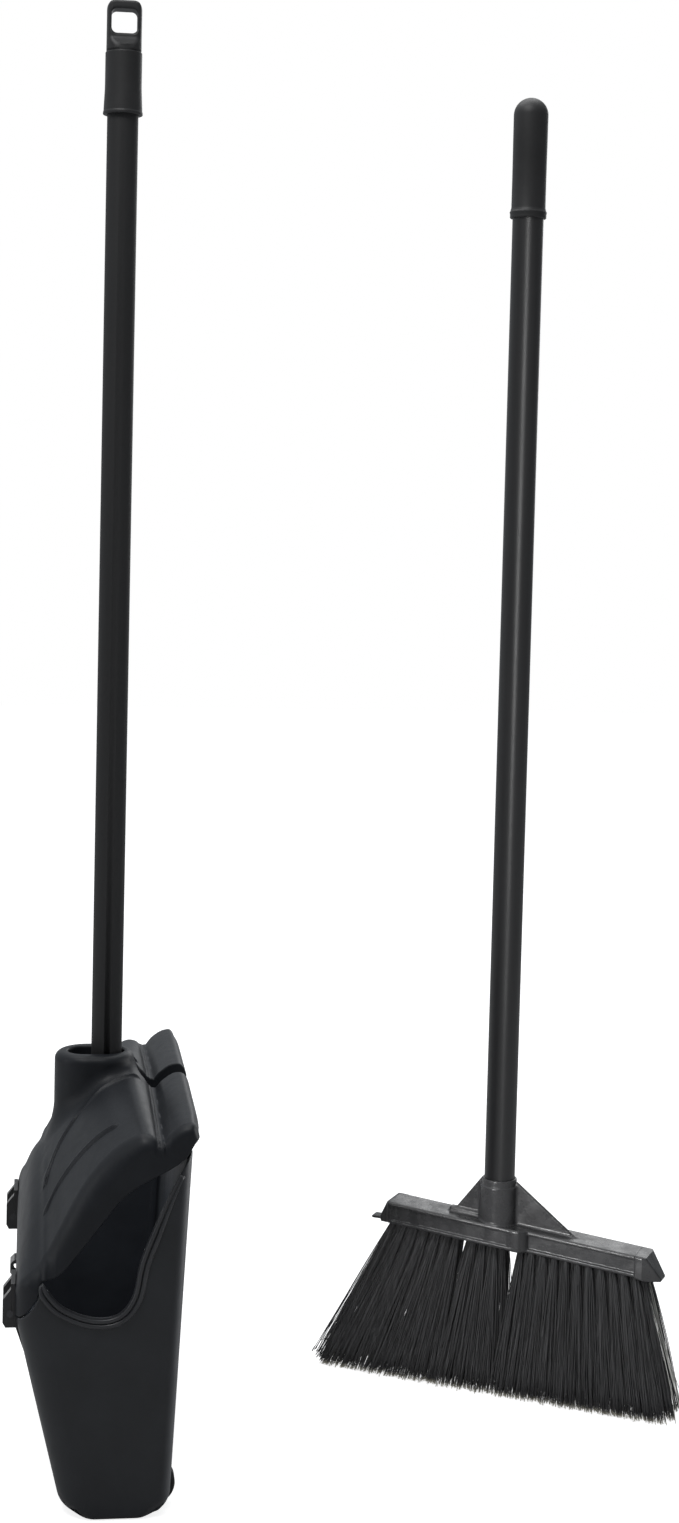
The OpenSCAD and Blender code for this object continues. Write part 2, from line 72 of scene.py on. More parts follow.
def skin(field, low, high, step):
    """Points and four-sided faces of the surface on which field, a signed distance, is zero."""
    axes = [np.arange(a, b + step, step) for a, b in zip(low, high)]
    value = field(axes[0][:, None, None], axes[1][None, :, None], axes[2][None, None, :])
    value = np.ascontiguousarray(np.broadcast_to(value, [len(a) for a in axes]))
    inside = (value < 0).astype(np.int8)

    def corner(grid, c):
        return grid[tuple(slice(o, o + n - 1) for o, n in zip(c, grid.shape))]

    count = sum(corner(inside, c) for c in CORNERS)
    cells = np.argwhere((count > 0) & (count < 8))
    index = np.full(count.shape, -1)
    index[tuple(cells.T)] = np.arange(len(cells))
    total, hits = np.zeros(cells.shape), np.zeros(len(cells))
    for a, b in EDGES:
        va, vb = value[tuple((cells + a).T)], value[tuple((cells + b).T)]
        cross = (va < 0) != (vb < 0)
        share = va[cross] / (va[cross] - vb[cross])
        total[cross] += np.add(a, share[:, None] * np.subtract(b, a))
        hits[cross] += 1
    points = np.array(low) + step * (cells + total / hits[:, None])
    quads = []
    for axis in range(3):
        turn = np.diff(inside, axis=axis)
        at = np.argwhere(turn != 0)
        one, two = np.eye(3, dtype=int)[(axis + 1) % 3], np.eye(3, dtype=int)[(axis + 2) % 3]
        keep = np.all(at - one - two >= 0, axis=1) & np.all(at < np.array(count.shape), axis=1)
        at = at[keep]
        around = [index[tuple((at - o).T)] for o in (one + two, two, 0 * one, one)]
        quad = np.stack(around, axis=1)
        outward = turn[tuple(at.T)] > 0
        quad[outward] = quad[outward][:, ::-1]
        quads.append(quad)
    return points, np.concatenate(quads)


def slope_of(field, points):
    """How field changes along each axis at the points."""
    here = field(*points.T)
    return here, np.stack([(field(*(points + SLOPE_STEP * np.eye(3)[a]).T) - here) / SLOPE_STEP
                           for a in range(3)], axis=1)


def settle(field, points, reach):
    """Moves the points on to the surface where field is zero."""
    for _ in range(2):
        here, slope = slope_of(field, points)
        move = here / np.maximum((slope ** 2).sum(1), LEAST_SLOPE_SQUARED)
        points = points - np.clip(move, -reach, reach)[:, None] * slope
    return points


def even_out(points, quads):
    """Moves each point halfway to the middle of its neighbours."""
    ends = np.concatenate([quads[:, [i, (i + 1) % 4]] for i in range(4)])
    count = np.bincount(ends[:, 0], minlength=len(points)) + 1e-9
    middle = np.stack([np.bincount(ends[:, 0], points[ends[:, 1], a], len(points)) / count
                       for a in range(3)], axis=1)
    return points + 0.5 * (middle - points)


def make_mesh(name, points, faces, place=None):
    """A new object from points in mm. place is its own frame in the row frame."""
    mesh = bpy.data.meshes.new(name)
    faces = faces.tolist() if isinstance(faces, np.ndarray) else faces
    mesh.from_pydata((np.asarray(points, float) * MM).tolist(), [], faces)
    mesh.polygons.foreach_set("use_smooth", [True] * len(mesh.polygons))
    if place is not None:
        mesh.transform(place)
    mesh.update()
    obj = bpy.data.objects.new(name, mesh)
    bpy.context.scene.collection.objects.link(obj)
    return obj


def applied(obj):
    """obj with its modifiers made part of its mesh."""
    ready = obj.evaluated_get(bpy.context.evaluated_depsgraph_get())
    mesh = bpy.data.meshes.new_from_object(ready)
    obj.modifiers.clear()
    obj.data = mesh
    return obj


def moulded(name, field, low, high, step, keep=1.0, place=None):
    """A smooth closed piece bounded by field, with keep of its faces kept where it is flat."""
    points, quads = skin(field, low, high, step)
    points = settle(field, even_out(points, quads), step)
    obj = make_mesh(name, points, quads)
    if keep < 1:
        thin = obj.modifiers.new("thin", "DECIMATE")
        thin.ratio = keep
        applied(obj)
    count = len(obj.data.vertices)
    flat = np.zeros(count * 3)
    obj.data.vertices.foreach_get("co", flat)
    points = settle(field, flat.reshape(-1, 3) / MM, step / 2)
    _, normals = slope_of(field, points)
    normals /= np.maximum(np.linalg.norm(normals, axis=1), 1e-6)[:, None]
    if place is not None:
        turn = np.array(place.to_3x3())
        points = points @ turn.T + np.array(place.translation) / MM
        normals = normals @ turn.T
    obj.data.vertices.foreach_set("co", (points * MM).ravel())
    obj.data.polygons.foreach_set("use_smooth", [True] * len(obj.data.polygons))
    obj.data.update()
    obj.data.normals_split_custom_set_from_vertices(normals.tolist())
    return obj


def both(a, b, r):
    """What is inside a and b, its edge rounded by r."""
    return np.minimum(-r, np.maximum(a, b)) + np.hypot(np.maximum(a + r, 0), np.maximum(b + r, 0))


def either(a, b, r):
    """What is inside a or b, with a fillet of radius r between them."""
    return np.maximum(r, np.minimum(a, b)) - np.hypot(np.maximum(r - a, 0), np.maximum(r - b, 0))


def without(a, b, r):
    return both(a, -b, r)


def block(x, y, z, low, high, r):
    """A box with rounded edges."""
    qx, qy, qz = [np.abs(v - (a + b) / 2) - (b - a) / 2 + r
                  for v, a, b in zip((x, y, z), low, high)]
    out = np.sqrt(np.maximum(qx, 0) ** 2 + np.maximum(qy, 0) ** 2 + np.maximum(qz, 0) ** 2)
    return out + np.minimum(np.maximum(qx, np.maximum(qy, qz)), 0) - r


def stadium(x, y, back, front, r):
    """Two half circles about back and front, joined by straight sides."""
    return np.hypot(x - np.clip(x, back, front), y) - r


def nearest(line, u, v):
    """Distance from (u, v) to a line of straight pieces, and on which side of it."""
    best = side = None
    for (au, av), (bu, bv) in zip(line[:-1], line[1:]):
        du, dv = bu - au, bv - av
        t = np.clip(((u - au) * du + (v - av) * dv) / (du * du + dv * dv), 0, 1)
        eu, ev = u - au - t * du, v - av - t * dv
        square, turn = eu * eu + ev * ev, du * ev - dv * eu
        if best is None:
            best, side = square, np.sign(turn)
        closer = square < best
        best, side = np.where(closer, square, best), np.where(closer, np.sign(turn), side)
    return np.sqrt(best), side


def outline(line, u, v):
    """Signed distance to a closed outline, below zero inside it."""
    ring = list(line) + [line[0]]
    away, _ = nearest(ring, u, v)
    odd = np.zeros(np.broadcast(u, v).shape, bool)
    for (au, av), (bu, bv) in zip(ring[:-1], ring[1:]):
        if av != bv:
            odd ^= ((av > v) != (bv > v)) & (u < (bu - au) * (v - av) / (bv - av) + au)
    return np.where(odd, -away, away)


def smooth(line, n=4):
    """A curve through the points of line, with n pieces in each span."""
    p = [np.array(q, float) for q in line]
    made = []
    for i in range(len(p) - 1):
        a, b, c, d = p[max(i - 1, 0)], p[i], p[i + 1], p[min(i + 2, len(p) - 1)]
        for s in range(n):
            t = s / n
            made.append(0.5 * (2 * b + (c - a) * t + (2 * a - 5 * b + 4 * c - d) * t ** 2
                               + (3 * b - a - 3 * c + d) * t ** 3))
    return [tuple(q) for q in made] + [tuple(p[-1])]


def height_along(line):
    """A smooth function through given points (x, z)."""
    px, pz = np.array(line, float).T
    lean = np.gradient(pz, px)

    def at(x):
        x = np.clip(x, px[0], px[-1])
        i = np.clip(np.searchsorted(px, x) - 1, 0, len(px) - 2)
        w = px[i + 1] - px[i]
        t = (x - px[i]) / w
        return (pz[i] * (1 + 2 * t) * (1 - t) ** 2 + lean[i] * w * t * (1 - t) ** 2
                + pz[i + 1] * t * t * (3 - 2 * t) - lean[i + 1] * w * t * t * (1 - t))
    return at


def ramp(value, start, end):
    """From 0 at start to 1 at end, smoothly."""
    t = np.clip((value - start) / (end - start), 0, 1)
    return t * t * (3 - 2 * t)


# ---- Dust pan dimensions, in mm --------------------------------------------------------

WALL = 2.8
EDGE_R, FINE_EDGE_R = 1.2, 0.8
HALF_W = 145
REAR_X, FRONT_X = -63, 60
REAR_R, FRONT_R = 20, 8
# The pan's walls at the floor, and how far they lean out per mm of height
REAR_FOOT_X, FRONT_FOOT_X = -29.5, 43
REAR_LEAN, FRONT_LEAN = 0.243, 0.0467
REAR_HEEL_R, FRONT_HEEL_R, SIDE_HEEL_R = 14, 18, 4
HINGE_Z, LIP_Z = 137, 254
SEAM = [(-63, 137), (-58, 140), (-52, 147), (-47, 157), (-45, 165)]
PAN_DIP = [(-45, 165), (-33, 150), (-13, 141), (5, 142), (16, 155), (22, 182), (37, 219), (54, LIP_Z)]
CHEEK_EDGE = [(-45, 166), (-32, 172), (-9, 201), (12, 226), (46, 246), (56, 259), (61, 263)]
MIDDLE_TOP = [(-63, 160), (-59, 186), (-56, 199), (-44, 223), (-37, 236), (-20, 257), (-6, 270), (8, 276),
              (20, 277), (27, 272), (33.5, 264), (40, 270), (50, 276), (56, 275), (60, 270)]
END_TOP = [(-63, 159), (-55, 165), (-44, 174), (-36, 190), (-21, 221), (-1, 248), (12, 259), (22, 264),
           (28, 263), (33.5, 259), (40, 266), (50, 272), (56, 272), (60, 268)]
COLLAR = dict(back=-13.5, front=-4, r=24)
SLOT = dict(back=-15, front=0, r=13)
COLLAR_TOP, COLLAR_SKIRT = 290, 238
COLLAR_EDGE_R, COLLAR_FILLET_R = 6, 9
NOTCH_R, NOTCH_X, NOTCH_DEPTH = 12.5, 33.5, 12
NOTCH_LENGTH, NOTCH_FLANGE, NOTCH_FOOT_Z = 60, 2.4, 235
SEAM_GAP = 0.6
BRACKET_Y, BRACKET_W, EAR_W = 107, 30, 6
WHEEL_Y = 118
GUIDE_Y = 130
# Boxes as (lowest corner, highest corner), with y counted from the place that each one has
BRACKET_ROOM = (REAR_X - 12, -9.7, HINGE_Z - 20), (REAR_X + 8, 9.7, HINGE_Z + 7)
KNUCKLE_ROOM = (REAR_X - 5, -3.6, HINGE_Z - 11), (REAR_X + 9, 3.6, HINGE_Z + 20)
WELL_SHELL = (14, -10.5, -20), (90, 10.5, 34.5)
WELL = (16.5, -8, -30), (90, 8, 32)
GUIDE = (50.5, -3, 246), (53.7, 3, LIP_Z + 7.5)

middle_top, end_top = height_along(MIDDLE_TOP), height_along(END_TOP)
# Lines pressed into each side of the hood, from its front to its rear, as (x, distance from the middle)
SWEEP = smooth([(26, 24), (12, 29), (-3, 33), (-17, 38), (-27, 43), (-35, 49), (-41, 58), (-44, 68)])
CREASE = smooth([(5, 106), (-7, 102), (-20, 97), (-31, 93), (-38, 93), (-44, 97)])
# Where along x each line starts, is at its full height, begins to fade and has gone
SWEEP_FRONT = -20, -6, 20, 27
SWEEP_REAR = -47, -43, -25, -17
CREASE_SPAN = -46, -42, 0, 7
# Heights of bead and groove: the front half of the sweep is soft, the other lines are sharper
SOFT, SHARP = (2.1, 0.6), (1.6, 1.1)
BAND_X, BAND_H = 33, 1.0
RIDGE_X, RIDGE_W, RIDGE_H = -44.5, 1.8, 1.5


def pressed(away, bead, groove):
    """A bead just above a line, where away is over zero, and a groove just below it."""
    return (bead * np.exp(-((away - 1.5) / 1.5) ** 2) - groove * np.exp(-((away + 1.0) / 0.85) ** 2)
            + 0.5 * bead * ramp(away, -1, 1) * np.exp(-np.abs(away) / 9))


def along(x, start, full, fading, gone):
    return (1 - ramp(x, fading, gone)) * ramp(x, start, full)


def hood_lines(x, side):
    """How far the hood's pressed lines stand up, at x and at side from its middle."""
    away, turn = nearest(SWEEP, x, side)
    away = away * turn  # above zero towards the middle
    raised = along(x, *SWEEP_FRONT) * pressed(-away, *SOFT) + along(x, *SWEEP_REAR) * pressed(away, *SHARP)
    away, turn = nearest(CREASE, x, side)
    raised = raised + along(x, *CREASE_SPAN) * pressed(away * turn, *SHARP)
    # Raised band along the groove between the two humps, and one along the rear edge
    band = 1 - ramp(np.abs(x - BAND_X), 1.3, 2.5)
    ridge = np.exp(-((x - RIDGE_X) / RIDGE_W) ** 2) * ramp(side, 26, 40)
    return raised + BAND_H * band + RIDGE_H * ridge


def hood_top(x, y):
    side = np.abs(y)
    share = 1 - np.clip(side / HALF_W, 0, 1) ** 1.6
    ends = end_top(x)
    return ends + (middle_top(x) - ends) * share + hood_lines(x, side)


def hood_plan(x, y):
    """Signed distance to the hood's outline from above."""
    middle, half = (REAR_X + FRONT_X) / 2, (FRONT_X - REAR_X) / 2
    r = np.where(x < middle, REAR_R, FRONT_R)
    qx, qy = np.abs(x - middle) - half + r, np.abs(y) - HALF_W + r
    return np.hypot(np.maximum(qx, 0), np.maximum(qy, 0)) + np.minimum(np.maximum(qx, qy), 0) - r


def hood_form(x, y, z):
    h = 0.3
    top = hood_top(x, y)
    lean_x = (hood_top(x + h, y) - hood_top(x - h, y)) / (2 * h)
    lean_y = (hood_top(x, y + h) - hood_top(x, y - h)) / (2 * h)
    over = (z - top) / np.sqrt(1 + lean_x ** 2 + lean_y ** 2)
    # The shoulders are rounder towards the two ends, most of all at the rear
    near_end = ramp(np.abs(y), 105, 132) * ramp(x, -60, -42)
    shoulder = 2.5 + (10.5 - 6 * ramp(x, 0, 40)) * near_end
    return both(over, hood_plan(x, y), shoulder)


# The hood in side view: its lower edge, then round behind, in front of and above it
HOOD_EDGE = ([(-90, HINGE_Z + SEAM_GAP)] + [(x, z + SEAM_GAP) for x, z in smooth(SEAM)]
             + smooth(CHEEK_EDGE)[1:] + [(75, 263), (75, 330), (-90, 330)])


def hood_field(x, y, z):
    form = hood_form(x, y, z)
    oblong = stadium(x, y, **COLLAR)
    collar = both(oblong, z - COLLAR_TOP, COLLAR_EDGE_R)
    outer = either(form, collar, COLLAR_FILLET_R)
    post = both(collar, COLLAR_SKIRT - z, 1)
    # The notch's edge is turned down
    notch = stadium(x, y, NOTCH_X, NOTCH_X + NOTCH_LENGTH, NOTCH_R)
    flange = np.maximum(notch - NOTCH_FLANGE, -form - NOTCH_DEPTH)
    cavity = np.maximum(np.maximum(form + WALL, -post), -flange)
    shell = without(outer, cavity, FINE_EDGE_R)
    shell = both(shell, outline(HOOD_EDGE, x, z), EDGE_R)
    shell = without(shell, np.maximum(stadium(x, y, **SLOT), COLLAR_SKIRT - 2 - z), 1.6)
    shell = without(shell, np.maximum(notch, NOTCH_FOOT_Z - z), 1.1)
    room = block(x, np.abs(np.abs(y) - BRACKET_Y), z, *BRACKET_ROOM, 0.5)
    return without(shell, room, 0.5)


def hood():
    return moulded("hood_cover", hood_field, (-67, -149, 134), (64, 149, 296), step=1.05, keep=0.45)


def pan_form(x, y, z):
    """Signed distance to the pan as if it were solid and had no upper edge."""
    rear = (REAR_FOOT_X - REAR_LEAN * z - x) / math.hypot(1, REAR_LEAN)
    front = (x - FRONT_FOOT_X - FRONT_LEAN * z) / math.hypot(1, FRONT_LEAN)
    side = np.abs(y) - HALF_W
    plan = np.maximum(both(rear, side, REAR_R), both(front, side, FRONT_R))
    near_end = ramp(side, -14, -4) * ramp(-np.maximum(rear, front), 4, 22)
    heel = np.where(x < 0, REAR_HEEL_R, FRONT_HEEL_R) * (1 - near_end) + SIDE_HEEL_R * near_end
    return both(plan, -z, heel)


# The pan in side view: round below it and in front of it, then its upper edge
UNDER_RIM = ([(-90, -10), (80, -10), (80, LIP_Z)] + smooth(PAN_DIP)[::-1]
             + smooth(SEAM)[::-1][1:] + [(-90, HINGE_Z)])


def pan_field(x, y, z):
    side = np.abs(y)
    outer = pan_form(x, y, z)
    cavity = np.maximum(outer + WALL, -block(x, side - WHEEL_Y, z, *WELL_SHELL, 1))
    shell = without(outer, cavity, 0.6)
    shell = both(shell, outline(UNDER_RIM, x, z), EDGE_R)
    shell = either(shell, block(x, side - GUIDE_Y, z, *GUIDE, FINE_EDGE_R), FINE_EDGE_R)
    shell = without(shell, block(x, side - WHEEL_Y, z, *WELL, 1), FINE_EDGE_R)
    ear = np.abs(side - BRACKET_Y) - (BRACKET_W - EAR_W) / 2
    return without(shell, block(x, ear, z, *KNUCKLE_ROOM, 0.3), 0.4)


def pan():
    return moulded("pan_body", pan_field, (-68, -150, -3), (66, 150, 265), step=1.6, keep=0.8)


ROLL_R, ROLL_OUT, ROLL_DEPTHS = 1.75, 0.9, (1.15, 4.65)
OVER_THE_EDGE = [(2.5, -3.3), (0.2, -3.4), (-0.5, -2.9), (-0.7, -2.2)]
BELOW_THE_ROLLS = (6.2, -0.6)
REAR_TAPER, FRONT_TAPER = 5, 14  # in steps along the edge


def rim_bead():
    """The doubled bead along the edge of each side wall, swept round the edge's dip."""
    edge = [np.array(q) for q in smooth(PAN_DIP, 12)][:-6]
    lean = np.gradient(np.array(edge), axis=0)
    lean /= np.linalg.norm(lean, axis=1)[:, None]
    # Two rolls side by side, as (depth below the edge, distance out from the wall's face)
    rolls = [(depth + ROLL_R * math.cos(math.radians(180 - a)), ROLL_OUT + ROLL_R * math.sin(math.radians(a)))
             for depth in ROLL_DEPTHS for a in np.linspace(0, 180, 10)]
    section = OVER_THE_EDGE + rolls + [BELOW_THE_ROLLS]
    points, faces = [], []
    n, count = len(section), len(edge)
    for hand in (-1, 1):
        base = len(points)
        for k, ((x, z), (tx, tz)) in enumerate(zip(edge, lean)):
            # The bead thins out at its two ends
            share = min(1, 0.1 + min(k / REAR_TAPER, (count - 1 - k) / FRONT_TAPER))
            for inward, out in section:
                out = out * share if out > 0 else out
                inward = inward * (0.4 + 0.6 * share)
                points.append((x + tz * inward, hand * (HALF_W + out), z - tx * inward))
        for k in range(count - 1):
            for i in range(n):
                a, b = base + k * n + i, base + k * n + (i + 1) % n
                quad = (a, b, b + n, a + n)
                faces.append(quad if hand > 0 else quad[::-1])
        for k in (0, count - 1):
            cap = tuple(base + k * n + i for i in range(n))
            faces.append(cap if (hand > 0) == (k > 0) else cap[::-1])
    return make_mesh("pan_rim_bead", points, faces)


# ---- Broom -------------------------------------------------------------------------------

# In mm, in the broom's own frame: X along its head and Z up its handle
HEAD_SLOPE = math.tan(math.radians(4.4))
HEAD_Z, HEAD_H = 133.5, 17  # the bar's top on the handle's axis, and the bar's height
HEAD_LEFT, HEAD_RIGHT, SPLIT_X = -88, 122, 29
LEFT_DEPTH, RIGHT_DEPTH = (-16.5, 12.5), (-11.5, 15.5)  # y of each half's near face and far face
REBATE, REBATE_RIM, REBATE_STEP = 1.8, 4.5, 3
NOSE_X, NOSE_Y, NOSE_R = 18.5, -6.5, 10.3
LUG = (-102, -13, 124.6), (-90, -3, 126.8)
WEB_FOOT = (-40, -3.6, -3), (-12, 3.6, 3.6)
WEB_HALF = 1.5
SOCKET_R, SOCKET_TOP, SOCKET_FOOT = 14.8, 162.5, 118
RING_R, RING_TOP, RING_FOOT = 13.6, 168, 150
BORE_R, BORE_FOOT = 12.0, 127.9
THREAD_BORE_R, THREAD_BORE_FOOT = 9.3, 116
broom_low, broom_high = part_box("broom_tube")
BROOM = Matrix.Translation(((broom_low.x + broom_high.x) / 2, (broom_low.y + broom_high.y) / 2, 0))
BROOM = BROOM @ Matrix.Rotation(math.radians(-30), 4, "Z")


def head_top(x):
    return HEAD_Z - x * HEAD_SLOPE


def ribbed_bar(x, y, u, x0, x1, front, back):
    """One half of the head, with a rebate inside the rims of its near face and of its far face.
    u is the height above the bar's top line."""
    body = block(x, y, u, (x0, front, -HEAD_H), (x1, back, 0), 1.6)
    left, right = x0 + REBATE_RIM, x1 - REBATE_RIM
    foot, top = -HEAD_H + REBATE_STEP, -REBATE_STEP
    face = block(x, y, u, (left, front - REBATE_STEP, foot), (right, front + REBATE, top), FINE_EDGE_R)
    hind = block(x, y, u, (left, back - REBATE, foot), (right, back + REBATE_STEP, top), FINE_EDGE_R)
    return without(without(body, face, 0.7), hind, 0.7)


def head_field(x, y, z):
    u = z - head_top(x)
    left = ribbed_bar(x, y, u, HEAD_LEFT, SPLIT_X - 6, *LEFT_DEPTH)
    right = ribbed_bar(x, y, u, SPLIT_X - 12, HEAD_RIGHT, *RIGHT_DEPTH)
    # The rounded step in the middle of the near face, where the two halves meet
    nose = both(np.hypot(x - NOSE_X, y - NOSE_Y) - NOSE_R, np.abs(u + HEAD_H / 2) - HEAD_H / 2, 1.6)
    bar = either(either(left, right, 0.5), nose, FINE_EDGE_R)
    # Slanted solid ends, and a thin lug on the left one
    left_end = outline([(-80, head_top(-80)), (-88.5, head_top(-88)), (-94.5, head_top(-88) - 13),
                        (-93.5, head_top(-88) - HEAD_H), (-80, head_top(-80) - HEAD_H)], x, z)
    left_end = both(left_end, np.abs(y + 1.5) - 13.6, 1.4)
    right_end = outline([(114, head_top(114)), (122.5, head_top(122)), (134, 107.4), (133.3, 105.6),
                         (124, 105.6), (114, head_top(114) - HEAD_H)], x, z)
    right_end = both(right_end, np.abs(y - 0.5) - 13.2 + 0.5 * np.maximum(x - 120, 0), 1.2)
    lug = block(x, y, z, *LUG, 0.9)
    for end in (left_end, right_end, lug):
        bar = either(bar, end, FINE_EDGE_R)
    web = outline([(-14, 167), (-39, head_top(-39) - 2), (68, head_top(68) - 3), (14.5, 166)], x, z)
    web = both(web, np.abs(y) - WEB_HALF, 0.9)
    bar = either(bar, web, 2.2)
    # The web's thick foot on the left
    bar = either(bar, block(x, y, u, *WEB_FOOT, 1.4), 1.5)
    radius = np.hypot(x, y)
    socket = np.maximum(both(radius - SOCKET_R, z - SOCKET_TOP, 1.0), SOCKET_FOOT - z)
    bar = either(bar, socket, 2.0)
    ring = np.maximum(both(radius - RING_R, z - RING_TOP, 0.9), RING_FOOT - z)
    bar = either(bar, ring, 0.5)
    bore = np.maximum(radius - BORE_R, BORE_FOOT - z)
    thread_bore = np.maximum(radius - THREAD_BORE_R, THREAD_BORE_FOOT - z)
    return np.maximum(np.maximum(bar, -bore), -thread_bore)


def broom_head():
    low, high = (-106, -19, 100), (138, 19, 171)
    return moulded("broom_block", head_field, low, high, step=0.85, keep=0.75, place=BROOM)


TUFT_PITCH = 9.2
TUFT_ROWS, TUFT_R = 4, 2.3
ROOTS_HALF, TIPS_HALF = 8.3, 16  # how far the outer rows are from the middle, at the roots and at the tips
FILAMENTS = 58  # in each tuft
FILAMENT_R = 0.33
BENDS = 7  # rings of points along each filament
GAP_SHIFT = 2.1
WORN_X, WORN_W = -150, 9
HAIR_RADII = 0.16, 0.06
STRAYS, STRAY_R = 9, 0.3


def filament_mesh(paths, radii):
    """Points and faces of thin three-sided tubes. paths is (tube, ring, 3), radii is (tube, ring)."""
    sides = 3
    tubes, rings, _ = paths.shape
    angle = 2 * math.pi * np.arange(sides) / sides
    spread = np.stack([np.cos(angle), np.sin(angle), 0 * angle], axis=1)
    points = paths[:, :, None, :] + radii[:, :, None, None] * spread[None, None]
    start = (np.arange(tubes) * rings * sides)[:, None, None]
    ring, side = np.arange(rings - 1)[None, :, None] * sides, np.arange(sides)[None, None, :]
    after = (side + 1) % sides
    quads = np.stack([start + ring + side, start + ring + sides + side,
                      start + ring + sides + after, start + ring + after], axis=-1)
    caps = [np.arange(sides)[None, ::-1] + start[:, :, 0] + (rings - 1) * sides * e for e in (0, 1)]
    caps[0] = caps[0][:, ::-1]
    return points.reshape(-1, 3), quads.reshape(-1, 4).tolist() + np.concatenate(caps).tolist()


def bristle_half(name, root0, root1, tip0, tip1, seed, gap_after=None):
    """Tufts of nearly straight filaments, fanned out from the head's underside to the floor.
    root0, root1, tip0 and tip1 are along the head. If there is a gap, it follows the tuft gap_after."""
    rng = np.random.default_rng(seed)
    count = round((root1 - root0) / TUFT_PITCH)
    roots, tips = [], []
    width = (tip1 - tip0) / count
    for row in range(TUFT_ROWS):
        for i in range(count):
            share = (i + 0.5 + (0.25 if row % 2 else -0.25)) / count
            depth = -1 + 2 * row / (TUFT_ROWS - 1)
            root = np.array([root0 + share * (root1 - root0), ROOTS_HALF * depth])
            tip = np.array([tip0 + share * (tip1 - tip0), TIPS_HALF * depth])
            if gap_after is not None and abs(share * count - gap_after) < 1.0:
                root = root + [GAP_SHIFT * np.sign(share * count - gap_after), 0]
            turn, out = rng.uniform(0, 2 * math.pi, FILAMENTS), np.sqrt(rng.uniform(0, 1, FILAMENTS))
            ring = np.stack([np.cos(turn), np.sin(turn)], axis=1) * out[:, None]
            roots.append(root + TUFT_R * ring)
            tips.append(tip + ring * [0.66 * width, 5.0] + rng.normal(0, 1.5, (FILAMENTS, 2)))
    roots, tips = np.concatenate(roots), np.concatenate(tips)
    total = len(roots)
    top = head_top(roots[:, 0]) - HEAD_H + 1.2
    low = np.abs(rng.normal(0, 0.6, total)) + 0.15
    # The left corner is worn away
    worn = WORN_W * np.clip(1 - (tips[:, 0] - WORN_X) / WORN_W, 0, 1)
    low += worn
    tips[:, 0] += 0.5 * worn
    t = np.linspace(0, 1, BENDS)[None, :, None]
    start = np.column_stack([roots, top])[:, None, :]
    end = np.column_stack([tips, low])[:, None, :]
    bow = np.column_stack([rng.normal(0, 0.9, total), rng.normal(0, 0.9, total), np.zeros(total)])
    paths = start + (end - start) * t + bow[:, None, :] * np.sin(math.pi * t) * 1.2
    radii = np.repeat(FILAMENT_R * rng.uniform(0.85, 1.15, (total, 1)), BENDS, axis=1)
    radii[:, -1] *= 0.75
    points, faces = filament_mesh(paths, radii)
    # Split ends: two hairs leave each filament just above its tip
    lean = end[:, 0] - paths[:, -2]
    lean /= np.linalg.norm(lean, axis=1)[:, None]
    base = len(points)
    hairs = []
    for _ in range(2):
        root = end[:, 0] - lean * rng.uniform(3, 7, (total, 1))
        tip = end[:, 0] + rng.normal(0, 0.9, (total, 3)) * [1, 1, 0.1]
        tip[:, 2] = np.maximum(tip[:, 2] - 0.1, 0.05)
        hairs.append(np.stack([root, tip], axis=1))
    hairs = np.concatenate(hairs)
    hair_points, hair_faces = filament_mesh(hairs, np.tile(HAIR_RADII, (len(hairs), 1)))
    faces += [[base + i for i in f] for f in hair_faces]
    return make_mesh(name, np.concatenate([points, hair_points]), faces, BROOM)


def strays():
    """Loose pale filaments that have sprung out past the right end of the broom."""
    rng = np.random.default_rng(5)
    paths = []
    for i in range(STRAYS):
        root = np.array([121.5 - 1.2 * (i % 3), rng.uniform(-8, 8), 104])
        tip = np.array([148 + 7 * rng.uniform(0, 1), rng.uniform(-16, 14), rng.uniform(0.6, 14)])
        t = np.linspace(0, 1, 9)[:, None]
        bow = np.array([rng.uniform(-3, 4), 0, 0])
        paths.append(root + (tip - root) * t + bow * np.sin(math.pi * t) * t)
    paths = np.array(paths)
    points, faces = filament_mesh(paths, np.full(paths.shape[:2], STRAY_R))
    return make_mesh("stray_filaments", points, faces, BROOM)


# ---- Grip and cap ------------------------------------------------------------------------

def lathe(name, profile, place):
    """A solid of revolution about Z, from a closed line of (radius, height) points."""
    segments = 96
    angle = 2 * math.pi * np.arange(segments) / segments
    points, faces = [], []
    n = len(profile)
    for a in angle:
        points += [(r * math.cos(a), r * math.sin(a), z) for r, z in profile]
    for i in range(segments):
        j = (i + 1) % segments
        for k in range(n):
            m = (k + 1) % n
            if max(profile[k][0], profile[m][0]) > 1e-6:
                faces.append((i * n + k, j * n + k, j * n + m, i * n + m))
    obj = make_mesh(name, points, faces, place)
    join = obj.modifiers.new("join", "WELD")
    join.merge_threshold = 0.00001
    return applied(obj)


def arc(cx, cz, r, start, end, n=8):
    """Points on an arc, in degrees."""
    return [(cx + r * math.cos(math.radians(a)), cz + r * math.sin(math.radians(a)))
            for a in np.linspace(start, end, n)]


def broom_grip():
    low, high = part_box("broom_grip")
    foot, top = low.z / MM, high.z / MM
    r = 11.9  # of the tube
    profile = ([(r, foot + 0.3), (r + 0.8, foot)] + arc(r + 1.1, foot + 0.9, 0.9, -70, 20, 5)
               + [(r + 2.0, foot + 3.2)] + arc(r + 1.6, foot + 4.6, 0.7, 0, 60, 4)
               + [(r + 1.15, foot + 8), (r + 1.1, foot + 30), (r + 1.25, foot + 60)]
               + arc(0, top - 13.2, 13.2, 0, 90, 18)[:-1] + [(0, top)] + [(0, top - 13), (r, top - 14)])
    return lathe("broom_grip_sleeve", profile, BROOM)


